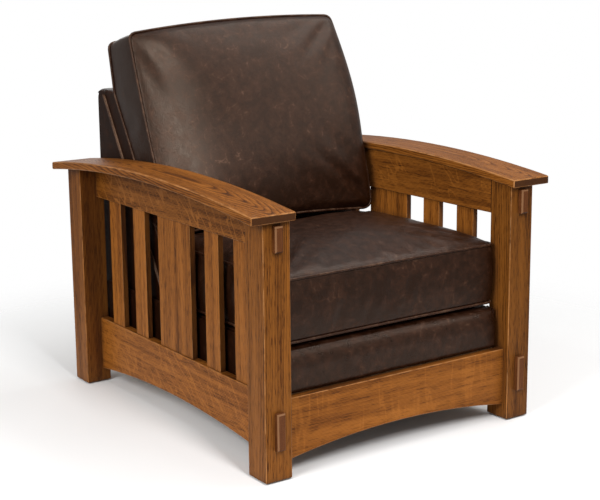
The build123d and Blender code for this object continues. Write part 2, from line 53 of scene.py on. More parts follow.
# Small helpers for shader nodes
def put(tree, kind, inputs=None, **settings):
    node = tree.nodes.new("ShaderNode" + kind)
    for key, value in settings.items():
        setattr(node, key, value)
    for key, value in (inputs or {}).items():
        if isinstance(value, bpy.types.NodeSocket):
            tree.links.new(value, node.inputs[key])
        else:
            node.inputs[key].default_value = value
    return node


def sums(tree, operation, first, second=0.0, third=None, clamp=False):
    inputs = {0: first, 1: second}
    if third is not None:
        inputs[2] = third
    return put(tree, "Math", inputs, operation=operation, use_clamp=clamp).outputs[0]


def ramp(tree, factor, stops):
    node = put(tree, "ValToRGB", {"Fac": factor})
    elements = node.color_ramp.elements
    for element, (place, shade) in zip(elements, (stops[0], stops[-1])):
        element.position = place
        element.color = (*shade, 1)
    for place, shade in stops[1:-1]:
        elements.new(place).color = (*shade, 1)
    return node.outputs["Color"]


def between(tree, value, low, high):
    node = put(tree, "MapRange", {"Value": value, "From Min": low, "From Max": high},
               interpolation_type="SMOOTHSTEP")
    return node.outputs["Result"]


def mixed(tree, factor, first, second, blend="MIX"):
    node = tree.nodes.new("ShaderNodeMix")
    node.data_type = "RGBA"
    node.blend_type = blend
    for index, value in ((0, factor), (6, first), (7, second)):
        if isinstance(value, bpy.types.NodeSocket):
            tree.links.new(value, node.inputs[index])
        elif index == 0:
            node.inputs[index].default_value = value
        else:
            node.inputs[index].default_value = (*value, 1)
    return node.outputs[2]


def speckle(tree, vector, scale, detail=3.0, roughness=0.55, **settings):
    node = put(tree, "TexNoise", {"Vector": vector, "Scale": scale, "Detail": detail,
                                  "Roughness": roughness}, **settings)
    return node.outputs["Fac"]


def scaled(tree, vector, scale):
    return put(tree, "Mapping", {"Vector": vector, "Scale": scale}).outputs[0]


def raised(tree, shader, height, distance, strength):
    bump = put(tree, "Bump", {"Height": height, "Distance": distance, "Strength": strength}).outputs[0]
    tree.links.new(bump, shader.inputs["Normal"])


def newMaterial(name):
    material = bpy.data.materials.new(name)
    material.use_nodes = True
    tree = material.node_tree
    tree.nodes.clear()
    shader = put(tree, "BsdfPrincipled")
    output = put(tree, "OutputMaterial")
    tree.links.new(shader.outputs[0], output.inputs["Surface"])
    return material, tree, shader


def dress(piece, material):
    piece.data.materials.clear()
    piece.data.materials.append(material)


def facing(tree):
    # How squarely the surface faces along X, Y and Z
    normal = put(tree, "NewGeometry").outputs["True Normal"]
    return [sums(tree, "ABSOLUTE", side) for side in put(tree, "SeparateXYZ", {0: normal}).outputs]


edgeTurn = {"flat": 0.955, "eased": 0.88}


def onEdge(tree, sizes):
    # Flat faces face straight along an axis or nearly so, and eased edges don't
    most = sums(tree, "MAXIMUM", sizes[0], sums(tree, "MAXIMUM", sizes[1], sizes[2]))
    return between(tree, most, edgeTurn["flat"], edgeTurn["eased"])


# Oak has growth rings, pores, ray fleck, worn edges, and darker joints with painted shade in recesses and on
# faces that look along Y
oak = {
    "early": (0.062, 0.018, 0.0045),
    "middle": (0.205, 0.063, 0.008),
    "late": (0.345, 0.12, 0.019),
    "worn": (0.5, 0.25, 0.1),
    "jointAndShade": (0.05, 0.018, 0.007),
    "end": (0.045, 0.016, 0.006),
    "ringSpacing": 0.003,
    "rings": 0.5,
    "streaks": 1.15,
    "streakScale": (75, 75, 1.6),
    "clouds": 0.5,
    "cloudScale": (9, 9, 2.5),
    "base": -0.58,
    "poreScale": 900,
    "poreLength": 0.028,
    "poreDepth": 0.22,
    "dashScale": 430,
    "dashLength": 0.085,
    "dashDepth": 0.3,
    "fleckTilt": 0.75,
    "fleckScale": (5, 12, 44),
    "pivot": 0.44,  # the tint that a board's contrast leaves as it is
    "roughness": 0.52,
    "roughnessFall": -0.1,
    "gloss": 0.13,
    "glossTint": (1, 0.82, 0.6, 1),
    "endDark": 0.93,
    "wear": 0.45,
    "jointShadeReach": 0.026,
    "jointShadeDark": 0.8,
}
grainTurns = {"X": (0, -math.pi / 2, 0), "Y": (math.pi / 2, 0, 0), "Z": (0, 0, 0)}


def oakFinish(name, grain, seed, heart=(0.16, 0.05), taper=0.02, fleck=0.0, tone=1.0, wave=0.003, sideShade=0.0,
              contrast=1.5):
    # heart is where the middle of the log lies across the board; a near one gives cathedral figure
    material, tree, shader = newMaterial(name)
    place = put(tree, "TexCoord").outputs["Object"]
    turned = put(tree, "Mapping", {"Vector": place, "Rotation": grainTurns[grain]}).outputs[0]
    shifted = put(tree, "Mapping", {"Vector": turned,
                                    "Location": (seed * 0.37 % 1.3, seed * 0.61 % 1.7, seed * 1.13)}).outputs[0]
    slow = scaled(tree, shifted, (7, 7, 1.1))
    drift = put(tree, "TexNoise", {"Vector": slow, "Scale": 1.0, "Detail": 3.0}).outputs["Color"]
    centred = put(tree, "VectorMath", {0: drift, 1: (0.5, 0.5, 0.5)}, operation="SUBTRACT").outputs[0]
    pushed = put(tree, "VectorMath", {0: centred, "Scale": wave * 5}, operation="SCALE").outputs[0]
    bent = put(tree, "VectorMath", {0: turned, 1: pushed}, operation="ADD").outputs[0]
    fromHeart = put(tree, "VectorMath", {0: bent, 1: (heart[0], heart[1], 0)}, operation="SUBTRACT").outputs[0]
    parts = put(tree, "SeparateXYZ", {0: fromHeart})
    flat = put(tree, "CombineXYZ", {0: parts.outputs[0], 1: parts.outputs[1]}).outputs[0]
    radius = put(tree, "VectorMath", {0: flat}, operation="LENGTH").outputs["Value"]
    radius = sums(tree, "MULTIPLY_ADD", parts.outputs[2], taper, radius)
    rings = sums(tree, "FRACT", sums(tree, "DIVIDE", radius, oak["ringSpacing"]))
    line = put(tree, "MapRange", {"Value": rings, "From Max": 0.62}).outputs["Result"]
    line = sums(tree, "MULTIPLY", line, between(tree, rings, 1.0, 0.9))

    streak = speckle(tree, scaled(tree, shifted, oak["streakScale"]), 1.0, 4.0)
    cloud = speckle(tree, scaled(tree, shifted, oak["cloudScale"]), 1.0, 2.0)
    pores = speckle(tree, scaled(tree, shifted, (1, 1, oak["poreLength"])), oak["poreScale"], 2.0, 0.5)
    pores = between(tree, pores, 0.56, 0.68)
    dashes = speckle(tree, scaled(tree, shifted, (1, 1, oak["dashLength"])), oak["dashScale"], 2.0, 0.5)
    dashes = between(tree, dashes, 0.5, 0.7)
    tint = sums(tree, "MULTIPLY_ADD", line, oak["rings"], oak["base"])
    tint = sums(tree, "MULTIPLY_ADD", streak, oak["streaks"], tint)
    tint = sums(tree, "MULTIPLY_ADD", cloud, oak["clouds"], tint)
    tint = sums(tree, "MULTIPLY_ADD", pores, -oak["poreDepth"], tint)
    tint = sums(tree, "MULTIPLY_ADD", dashes, -oak["dashDepth"], tint)
    tint = sums(tree, "MULTIPLY_ADD", tint, contrast, oak["pivot"] * (1 - contrast))
    if fleck:
        # Turned before it is stretched, so the fleck runs slantwise over the face
        tilted = put(tree, "Mapping", {"Vector": shifted, "Rotation": (oak["fleckTilt"], 0, 0)}).outputs[0]
        wavy = speckle(tree, scaled(tree, tilted, oak["fleckScale"]), 1.0, 1.5, 0.5)
        rays = between(tree, sums(tree, "ABSOLUTE", sums(tree, "SUBTRACT", wavy, 0.5)), 0.045, 0.0)
        field = between(tree, speckle(tree, shifted, 6.0, 2.0), 0.4, 0.55)
        tint = sums(tree, "MULTIPLY_ADD", sums(tree, "MULTIPLY", rays, field), fleck, tint)
    shade = ramp(tree, tint, [(0.0, oak["early"]), (0.42, oak["middle"]), (0.95, oak["late"])])
    if tone != 1.0:
        shade = mixed(tree, 1.0, shade, (tone, tone, tone), "MULTIPLY")

    sizes = facing(tree)
    endOn = between(tree, sizes["XYZ".index(grain)], 0.8, 0.97)
    shade = mixed(tree, sums(tree, "MULTIPLY", endOn, oak["endDark"]), shade, oak["end"])
    # Painted shade: faces that look along Y are darkened towards the dark joint colour, as slat sides sit in
    # shade
    if sideShade:
        sideShadeMask = between(tree, sizes[1], 0.7, 0.95)
        shade = mixed(tree, sums(tree, "MULTIPLY", sideShadeMask, sideShade), shade, oak["jointAndShade"])
    palerShare = between(tree, speckle(tree, shifted, 38.0, 3.0), 0.36, 0.6)
    wear = sums(tree, "MULTIPLY", onEdge(tree, sizes), sums(tree, "MULTIPLY_ADD", palerShare, 0.75, 0.25))
    shade = mixed(tree, sums(tree, "MULTIPLY", wear, oak["wear"]), shade, oak["worn"])
    # Darker in joints and recesses by ambient occlusion: partly dark glaze, partly painted shade
    hollow = put(tree, "AmbientOcclusion", {"Distance": oak["jointShadeReach"]}, samples=6).outputs["AO"]
    hollow = sums(tree, "MULTIPLY_ADD", between(tree, hollow, 0.2, 0.95), -oak["jointShadeDark"], oak["jointShadeDark"])
    shade = mixed(tree, hollow, shade, oak["jointAndShade"])

    tree.links.new(shade, shader.inputs["Base Color"])
    rough = sums(tree, "MULTIPLY_ADD", tint, oak["roughnessFall"], oak["roughness"])
    tree.links.new(rough, shader.inputs["Roughness"])
    shader.inputs["Specular IOR Level"].default_value = oak["gloss"]
    shader.inputs["Specular Tint"].default_value = oak["glossTint"]
    relief = sums(tree, "SUBTRACT", sums(tree, "MULTIPLY", line, 0.35), pores)
    raised(tree, shader, relief, 0.00025, 0.5)
    return material


boards = {
    "left_arm": dict(grain="Y", seed=1.0, heart=(-0.35, -0.62), taper=0.035, wave=0.008,
                     tone=0.86, contrast=1.3),
    "right_arm": dict(grain="Y", seed=2.3, heart=(0.35, -0.615), taper=0.03, wave=0.008,
                      tone=0.84, contrast=1.3),
    "left_upper_rail": dict(grain="Y", seed=3.1, heart=(-0.33, -0.9), fleck=1.3, tone=0.74, contrast=1.8),
    "right_upper_rail": dict(grain="Y", seed=4.7, heart=(0.33, -0.9), fleck=0.45, tone=0.82, contrast=1.5),
    "left_lower_rail": dict(grain="Y", seed=5.9, heart=(-0.36, 0.6), taper=0.02, fleck=0.4),
    "right_lower_rail": dict(grain="Y", seed=6.2, heart=(0.36, 0.6), taper=0.02, fleck=0.4),
    "front_rail": dict(grain="X", seed=7.4, heart=(1.6, -0.4), taper=0.004, fleck=0.2, tone=0.95, contrast=1.0),
    "rear_rail": dict(grain="X", seed=8.8, heart=(0.1, -0.9), taper=0.012),
    "front_left_post": dict(grain="Z", seed=9.5, heart=(-0.1, -0.62), taper=0.012, tone=0.71, contrast=2.3),
    "front_right_post": dict(grain="Z", seed=10.1, heart=(0.62, -0.2), taper=0.012, tone=0.59, contrast=2.4),
    "rear_left_post": dict(grain="Z", seed=11.7, heart=(-0.6, 0.2), taper=0.012, tone=0.78, sideShade=0.4),
    "rear_right_post": dict(grain="Z", seed=12.9, heart=(0.6, 0.2), taper=0.012, tone=0.75),
}


def dressBoards():
    for count, name in enumerate(sorted(n for n in nodes if "slat" in n)):
        side = -1 if name.startswith("left") else 1
        boards[name] = dict(grain="Z", seed=14.0 + 1.7 * count, heart=(side * (0.34 + 0.03 * (count % 3)), 1.1),
                            taper=0.008, tone=0.96 + 0.05 * (count % 4), sideShade=0.75, contrast=2.3)
    for name, board in boards.items():
        dress(nodes[name], oakFinish(name + "Oak", **board))
    dress(nodes["arm_dowels"], oakFinish("dowelOak", "Z", 40.0))
    print("oak boards dressed:", len(boards))


keys = {
    "dark": (0.03, 0.009, 0.003),
    "middle": (0.085, 0.025, 0.006),
    "pale": (0.15, 0.05, 0.014),
    "edgeHighlight": (0.24, 0.12, 0.055),
    "rayScale": (900, 40, 30),
    "poreScale": 1300,
    "roughness": 0.5,
}


def endGrainFinish():
    material, tree, shader = newMaterial("keyEndGrain")
    place = put(tree, "TexCoord").outputs["Object"]
    rays = speckle(tree, scaled(tree, place, keys["rayScale"]), 1.0, 3.0)
    pores = put(tree, "TexVoronoi", {"Vector": place, "Scale": keys["poreScale"]}).outputs["Distance"]
    tint = sums(tree, "MULTIPLY_ADD", rays, 0.7, sums(tree, "MULTIPLY", pores, 0.5))
    shade = ramp(tree, tint, [(0.15, keys["dark"]), (0.5, keys["middle"]), (0.85, keys["pale"])])
    # Painted light on the chamfered edges: edges facing up and edges facing left get a painted highlight, the
    # rest painted shade
    ways = put(tree, "SeparateXYZ", {0: put(tree, "NewGeometry").outputs["True Normal"]}).outputs
    lightSide = between(tree, sums(tree, "SUBTRACT", ways[2], ways[0]), 0.1, 0.5)
    edgeLightAndShade = sums(tree, "MULTIPLY", onEdge(tree, facing(tree)), 0.7)
    shade = mixed(tree, edgeLightAndShade, shade, mixed(tree, lightSide, oak["jointAndShade"], keys["edgeHighlight"]))
    tree.links.new(shade, shader.inputs["Base Color"])
    shader.inputs["Roughness"].default_value = keys["roughness"]
    shader.inputs["Specular IOR Level"].default_value = oak["gloss"]
    raised(tree, shader, tint, 0.0003, 0.5)
    return material


# Leather is mottled and finely crackled, with painted sheen on slopes that face up and painted shade on sides
# that face across
leather = {
    "dark": (0.0125, 0.0036, 0.0012),
    "middle": (0.033, 0.0115, 0.0055),
    "pale": (0.135, 0.074, 0.044),
    "clouds": 0.45,
    "cloudScale": 6.5,
    "patches": 1.5,
    "patchScale": 44,
    "base": -0.72,
    "veins": 0.32,
    "veinScale": 52,
    "cracks": 0.22,
    "crackScale": 32,
    "paintedTopSheen": 0.16,
    "paintedSideShade": -0.13,
    "gloss": 0.25,
    "glossTint": (1, 0.78, 0.62, 1),
    "grainScale": 620,
    "creaseDepth": 0.16,
    "creaseScale": 42,
    "puckers": 2.6,
    "puckerScale": 70,
    "swell": 1.7,
    "swellScale": 11,
}


def leatherFinish(name, paleness, seed, roughness, gloss=leather["gloss"], puckers=True):
    material, tree, shader = newMaterial(name)
    place = put(tree, "TexCoord").outputs["Object"]
    moved = put(tree, "Mapping", {"Vector": place, "Location": (seed, seed * 0.7, seed * 0.4)}).outputs[0]
    clouds = speckle(tree, moved, leather["cloudScale"], 5.0, 0.62)
    patches = speckle(tree, moved, leather["patchScale"], 5.0, 0.7)
    veins = speckle(tree, moved, leather["veinScale"], 6.0, 0.7, noise_type="RIDGED_MULTIFRACTAL")
    veins = between(tree, veins, 0.5, 1.2)
    wander = put(tree, "TexNoise", {"Vector": moved, "Scale": 30.0}).outputs["Color"]
    wander = put(tree, "VectorMath", {0: wander, "Scale": 0.03}, operation="SCALE").outputs[0]
    warped = put(tree, "VectorMath", {0: moved, 1: wander}, operation="ADD").outputs[0]
    cracks = put(tree, "TexVoronoi", {"Vector": warped, "Scale": leather["crackScale"]},
                 feature="DISTANCE_TO_EDGE").outputs["Distance"]
    cracks = sums(tree, "MULTIPLY", between(tree, cracks, 0.05, 0.0), between(tree, patches, 0.42, 0.6))
    # Painted sheen: slopes that face up a little are made the palest, level tops less
    up = put(tree, "SeparateXYZ", {0: put(tree, "NewGeometry").outputs["Normal"]}).outputs[2]
    palerShare = sums(tree, "MULTIPLY_ADD", between(tree, up, 0.6, 0.95), -0.45, between(tree, up, 0.02, 0.5))
    # Painted shade: faces that look along X are darkened
    shadedSides = between(tree, facing(tree)[0], 0.8, 0.95)

    tint = sums(tree, "MULTIPLY_ADD", clouds, leather["clouds"], paleness + leather["base"])
    tint = sums(tree, "MULTIPLY_ADD", patches, leather["patches"], tint)
    tint = sums(tree, "MULTIPLY_ADD", cracks, leather["cracks"], tint)
    tint = sums(tree, "MULTIPLY_ADD", veins, leather["veins"], tint)
    tint = sums(tree, "MULTIPLY_ADD", palerShare, leather["paintedTopSheen"], tint)
    tint = sums(tree, "MULTIPLY_ADD", shadedSides, leather["paintedSideShade"], tint)
    shade = ramp(tree, tint, [(0.1, leather["dark"]), (0.48, leather["middle"]), (1.0, leather["pale"])])
    pebbles = put(tree, "TexVoronoi", {"Vector": moved, "Scale": leather["grainScale"]},
                  feature="DISTANCE_TO_EDGE").outputs["Distance"]
    valley = between(tree, pebbles, 0.0, 0.06)
    shade = mixed(tree, sums(tree, "MULTIPLY_ADD", valley, -0.35, 0.35), shade, leather["dark"])
    tree.links.new(shade, shader.inputs["Base Color"])
    tree.links.new(sums(tree, "MULTIPLY_ADD", patches, 0.2, roughness - 0.1), shader.inputs["Roughness"])
    shader.inputs["Specular IOR Level"].default_value = gloss
    shader.inputs["Specular Tint"].default_value = leather["glossTint"]

    creases = sums(tree, "SUBTRACT", speckle(tree, moved, leather["creaseScale"], 4.0, 0.6), 0.5)
    creases = between(tree, sums(tree, "ABSOLUTE", creases), 0.0, 0.035)
    creases = sums(tree, "MULTIPLY", creases, leather["creaseDepth"])
    relief = sums(tree, "MULTIPLY_ADD", valley, 0.25, creases)
    if puckers:
        near = put(tree, "Attribute", attribute_name="nearSeam").outputs["Fac"]
        folds = sums(tree, "MULTIPLY", near, speckle(tree, moved, leather["puckerScale"], 2.0, 0.5))
        relief = sums(tree, "MULTIPLY_ADD", folds, leather["puckers"], relief)
    swell = speckle(tree, moved, leather["swellScale"], 2.0, 0.5)
    relief = sums(tree, "MULTIPLY_ADD", swell, leather["swell"], relief)
    raised(tree, shader, relief, 0.0007, 0.6)
    return material


hide = {
    "seat": leatherFinish("seatLeather", paleness=-0.085, seed=0.0, roughness=0.34, gloss=0.28),
    "back": leatherFinish("backLeather", paleness=-0.15, seed=1.3, roughness=0.35, gloss=0.33),
    "frame": leatherFinish("frameLeather", paleness=-0.1, seed=2.0, roughness=0.42, gloss=0.08),
    "deck": leatherFinish("deckLeather", paleness=-0.1, seed=3.0, roughness=0.3, gloss=0.32),
    "piping": leatherFinish("pipingLeather", paleness=0.12, seed=4.0, roughness=0.33, puckers=False),
    "welt": leatherFinish("weltLeather", paleness=0.42, seed=5.0, roughness=0.33, puckers=False),
}


hidden = {
    "poplar": [(0.3, (0.42, 0.29, 0.16)), (0.55, (0.6, 0.45, 0.28)), (0.8, (0.68, 0.54, 0.36))],
    "strap": [(0.0, (0.012, 0.011, 0.01)), (1.0, (0.05, 0.046, 0.042))],
    "zinc": [(0.2, (0.42, 0.43, 0.45)), (0.8, (0.6, 0.6, 0.62))],
    "nylon": [(0.3, (0.045, 0.04, 0.035)), (0.75, (0.09, 0.08, 0.07))],
}


def innerWoodFinish():
    material, tree, shader = newMaterial("poplar")
    place = put(tree, "TexCoord").outputs["Object"]
    bands = speckle(tree, scaled(tree, place, (4, 60, 60)), 1.0, 4.0)
    shade = ramp(tree, bands, hidden["poplar"])
    tree.links.new(shade, shader.inputs["Base Color"])
    tree.links.new(sums(tree, "MULTIPLY_ADD", bands, 0.2, 0.55), shader.inputs["Roughness"])
    raised(tree, shader, bands, 0.0004, 0.4)
    return material


def webbingFinish():
    material, tree, shader = newMaterial("strapWeave")
    place = put(tree, "TexCoord").outputs["Object"]
    across = put(tree, "TexWave", {"Vector": place, "Scale": 160.0}, bands_direction="X").outputs["Fac"]
    along = put(tree, "TexWave", {"Vector": place, "Scale": 160.0}, bands_direction="Y").outputs["Fac"]
    weave = sums(tree, "MULTIPLY", across, along)
    shade = ramp(tree, weave, hidden["strap"])
    tree.links.new(shade, shader.inputs["Base Color"])
    tree.links.new(sums(tree, "MULTIPLY_ADD", weave, -0.15, 0.9), shader.inputs["Roughness"])
    raised(tree, shader, weave, 0.0005, 0.7)
    return material


def steelFinish():
    material, tree, shader = newMaterial("zincPlate")
    place = put(tree, "TexCoord").outputs["Object"]
    spangle = put(tree, "TexVoronoi", {"Vector": place, "Scale": 160.0}).outputs["Color"]
    grey = put(tree, "RGBToBW", {0: spangle}).outputs[0]
    shade = ramp(tree, grey, hidden["zinc"])
    tree.links.new(shade, shader.inputs["Base Color"])
    tree.links.new(sums(tree, "MULTIPLY_ADD", grey, 0.15, 0.32), shader.inputs["Roughness"])
    shader.inputs["Metallic"].default_value = 1.0
    return material


def glideFinish():
    material, tree, shader = newMaterial("glideNylon")
    place = put(tree, "TexCoord").outputs["Object"]
    scuff = speckle(tree, place, 400.0, 3.0)
    shade = ramp(tree, scuff, hidden["nylon"])
    tree.links.new(shade, shader.inputs["Base Color"])
    tree.links.new(sums(tree, "MULTIPLY_ADD", scuff, 0.3, 0.45), shader.inputs["Roughness"])
    return material


def dressHidden():
    finishes = {"inner_wood": innerWoodFinish(), "webbing": webbingFinish(), "steel": steelFinish(),
                "glide": glideFinish(), "end_grain_oak": endGrainFinish()}
    for part in frame["record"]["subparts"]:
        finish = finishes.get(part["material_slot"])
        if finish:
            dress(nodes[part["node"]], finish)
    print("hidden pieces and keys dressed")


mm = 0.001
outer = 0.999  # grid points beyond this lie on a side of the cube
seamReach = 50 * mm  # how far from a seam the leather is puckered


# A padded piece is a cube cut into a grid, then laid out by a rule of its own
def cutCube(cuts):
    bm = bmesh.new()
    bmesh.ops.create_cube(bm, size=2)
    for axis, count in enumerate(cuts):
        along = [e for e in bm.edges if abs((e.verts[0].co - e.verts[1].co)[axis]) > 0.9 * e.calc_length()]
        bmesh.ops.subdivide_edges(bm, edges=along, cuts=count, use_grid_fill=True)
    return bm


def roundCorner(a, b, halfA, halfB, radius):
    # a and b run from -1 to 1; the square they fill is given rounded corners
    pa, pb = a * halfA, b * halfB
    ia = max(-(halfA - radius), min(halfA - radius, pa))
    ib = max(-(halfB - radius), min(halfB - radius, pb))
    da, db = pa - ia, pb - ib
    if da and db:
        grow = max(abs(da), abs(db)) / math.hypot(da, db)
        return ia + da * grow, ib + db * grow
    return pa, pb


def swellShare(a, power):
    return 1 - abs(a) ** power


def rolledOff(past, reach, drop):
    # How far a rounded edge falls away where past runs from -reach up to 0
    near = min(1.0, max(0.0, 1 + past / reach))
    return drop * (1 - math.sqrt(1 - near ** 2))


def fullShare(a, b, powerA, powerB):
    # Rises steeply from the seams, as a well filled panel does
    return math.sqrt(swellShare(a, powerA) * swellShare(b, powerB))


def paddedPiece(name, body, cuts, place, replaced, finish, fill, seamTest=None, pinned=None, sim=None):
    bm = cutCube(cuts)
    bm.verts.index_update()
    unit = [v.co.copy() for v in bm.verts]
    for v in bm.verts:
        v.co = place(*unit[v.index])
    seams = {v.index for v in bm.verts if seamTest and seamTest(*unit[v.index])}
    paths = seamPaths(bm, seams)
    bmesh.ops.recalc_face_normals(bm, faces=bm.faces)
    mesh = bpy.data.meshes.new(name)
    bm.to_mesh(mesh)
    bm.free()
    piece = bpy.data.objects.new(name, mesh)
    scene.collection.objects.link(piece)
    markSeams(mesh, seams)
    if sim:
        puffUp(piece, [i for i, q in enumerate(unit) if i in seams or pinned(*q)], sim)
    for polygon in mesh.polygons:
        polygon.use_smooth = True
    mesh.materials.append(finish)
    smoother = piece.modifiers.new("rounded", "SUBSURF")
    smoother.levels = smoother.render_levels = 1
    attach(piece, body)
    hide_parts(*replaced)
    return piece, paths


def seamPaths(bm, seams):
    # The closed runs of neighbouring seam points, in order
    paths, left = [], set(seams)
    bm.verts.ensure_lookup_table()
    while left:
        start = min(left)
        path, here = [start], start
        left.discard(start)
        while True:
            onward = [e.other_vert(bm.verts[here]).index for e in bm.verts[here].link_edges]
            onward = [i for i in onward if i in left]
            if not onward:
                break
            here = onward[0]
            path.append(here)
            left.discard(here)
        paths.append(path)
    return paths


def markSeams(mesh, seams):
    near = mesh.attributes.new("nearSeam", "FLOAT", "POINT")
    if not seams:
        return
    tree = kdtree.KDTree(len(seams))
    for i in seams:
        tree.insert(mesh.vertices[i].co, i)
    tree.balance()
    values = [max(0.0, 1 - tree.find(v.co)[2] / seamReach) for v in mesh.vertices]
    near.data.foreach_set("value", values)


puffing = {
    "quality": 5,
    "mass": 0.3,
    "pressure": 1.2,
    "stiffness": 30,
    "shear": 10,
    "frames": 20,
    "limit": 22 * mm,
}


def puffUp(piece, still, sim):
    before = [v.co.copy() for v in piece.data.vertices]
    group = piece.vertex_groups.new(name="sewn")
    group.add(still, 1.0, "REPLACE")
    cloth = piece.modifiers.new("puff", "CLOTH")
    settings = cloth.settings
    settings.quality = puffing["quality"]
    settings.mass = puffing["mass"]
    settings.tension_stiffness = settings.compression_stiffness = puffing["stiffness"]
    settings.shear_stiffness = puffing["shear"]
    settings.bending_stiffness = sim["bending"]
    settings.use_pressure = True
    settings.uniform_pressure_force = puffing["pressure"]
    settings.vertex_group_mass = "sewn"
    settings.shrink_min = -sim["fullness"]
    settings.effector_weights.gravity = 0
    cloth.collision_settings.use_collision = False
    cloth.point_cache.frame_start = 1
    cloth.point_cache.frame_end = puffing["frames"]
    for step in range(1, puffing["frames"] + 1):
        scene.frame_set(step)
    shape = piece.evaluated_get(bpy.context.evaluated_depsgraph_get())
    after = [v.co.copy() for v in shape.to_mesh().vertices]
    shape.to_mesh_clear()
    piece.modifiers.remove(cloth)
    piece.vertex_groups.remove(group)
    scene.frame_set(1)
    limit = puffing["limit"]
    for vertex, old, new in zip(piece.data.vertices, before, after):
        move = new - old
        if move.length > 0:
            move *= limit * math.tanh(move.length / limit) / move.length
        vertex.co = old + move
        side = sim["room"](vertex.co.z)
        vertex.co.x = max(-side, min(side, vertex.co.x))
    most = max((v.co - old).length for v, old in zip(piece.data.vertices, before))
    print(piece.name, "puffed up by", round(most * 1000, 1), "mm at most")


def cordTube(name, points, radius, body, finish, closed=True):
    curve = bpy.data.curves.new(name, "CURVE")
    curve.dimensions = "3D"
    curve.bevel_depth = radius
    curve.bevel_resolution = 3
    curve.use_fill_caps = True
    spline = curve.splines.new("POLY")
    spline.points.add(len(points) - 1)
    for point, co in zip(spline.points, points):
        point.co = (*co, 1)
    spline.use_cyclic_u = closed
    shape = bpy.data.objects.new(name + "Path", curve)
    scene.collection.objects.link(shape)
    mesh = bpy.data.meshes.new_from_object(shape.evaluated_get(bpy.context.evaluated_depsgraph_get()))
    bpy.data.objects.remove(shape)
    bm = bmesh.new()
    bm.from_mesh(mesh)
    bmesh.ops.remove_doubles(bm, verts=bm.verts, dist=0.00001)
    bmesh.ops.recalc_face_normals(bm, faces=bm.faces)
    bm.to_mesh(mesh)
    bm.free()
    for polygon in mesh.polygons:
        polygon.use_smooth = True
    mesh.materials.clear()
    mesh.materials.append(finish)
    mesh.name = name
    piece = bpy.data.objects.new(name, mesh)
    scene.collection.objects.link(piece)
    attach(piece, body)
    return piece


def pipeSeams(piece, paths, radius, body, names, stand=0.4):
    mesh = piece.data
    for name, path in zip(names, paths):
        points = [mesh.vertices[i].co + mesh.vertices[i].normal * radius * stand for i in path]
        cordTube(name, points, radius, body, hide["piping"])


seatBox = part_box("seat_cushion")
seatCushion = {
    "cuts": (71, 59, 15),
    "cornerRadius": 15 * mm,
    "welt": (278 * mm, 412 * mm),
    "rest": 266.3 * mm,
    "crown": 27 * mm,
    "crownPowers": (11, 5),
    "draw": 3 * mm,
    "sideSwell": 6 * mm,
    "piping": 3.1 * mm,
    "fill": 0.8,
    "sim": dict(bending=1.5, fullness=0.003, room=lambda z: 300 * mm),
}


def seatPlace(u, v, w):
    spec = seatCushion
    halfX = seatBox[1].x - spec["draw"] * swellShare(v, 2) - spec["piping"]
    halfY = (seatBox[1].y - seatBox[0].y) / 2 - spec["draw"] * swellShare(u, 2) - spec["piping"]
    x, y = roundCorner(u, v, halfX, halfY, spec["cornerRadius"])
    low, high = spec["welt"]
    z = low + (high - low) * (w + 1) / 2
    if abs(u) > outer:
        x += u * spec["sideSwell"] * swellShare(w, 2)
    if abs(v) > outer:
        y += v * spec["sideSwell"] * swellShare(w, 2)
    if w > outer:
        z += spec["crown"] * fullShare(u, v, *spec["crownPowers"])
    if w < -outer:
        z -= (low - spec["rest"]) * swellShare(u, 8) * swellShare(v, 8)
    return Vector((x, y + (seatBox[0].y + seatBox[1].y) / 2, z))


def seatSeam(u, v, w):
    return abs(w) > outer and max(abs(u), abs(v)) > outer


def makeSeatCushion():
    spec = seatCushion
    piece, paths = paddedPiece("seatCushionLeather", "seat_cushion", spec["cuts"], seatPlace, ["seat_cushion"],
                               hide["seat"], spec["fill"], seatSeam, lambda u, v, w: w < -outer, spec["sim"])
    pipeSeams(piece, paths, spec["piping"], "seat_cushion", ["seatPipingA", "seatPipingB"])
    print("seat cushion done")


slope = {
    "topY": 388 * mm,
    "topZ": 748 * mm,
    "lean": math.radians(31),
}


def slopeY(z):
    # Where the sloping front of the back frame is at a height
    return slope["topY"] - (slope["topZ"] - z) * math.tan(slope["lean"])


backCushion = {
    "cuts": (71, 14, 61),
    "halfWidth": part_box("back_cushion")[1].x,
    "halfHeight": 246 * mm,
    "cornerRadius": (28 * mm, 15 * mm),
    "foot": (57 * mm, 432 * mm),
    "top": (237 * mm, 889 * mm),
    "rearTop": (342 * mm, 862 * mm),
    "bendHeight": 738 * mm,
    "padLine": 60 * mm,
    "hollow": 14 * mm,
    "arch": 12 * mm,
    "rightRise": 21 * mm,
    "rightAhead": (7 * mm, 10 * mm, 40 * mm),
    "footArch": 14 * mm,
    "crown": 34 * mm,
    "leftRound": (0.6, 2.2, 0.8),
    "rightRound": 16,
    "bendShare": 0.72,
    "armTop": 605 * mm,
    "bulge": 9 * mm,
    "bulgeReach": 290 * mm,
    "draw": 3 * mm,
    "sideSwell": 3 * mm,
    "piping": 3.1 * mm,
    "fill": 0.8,
    "sim": dict(bending=6, fullness=0.001, room=lambda z: (295.4 if z < backCushion["armTop"] else 306) * mm),
}


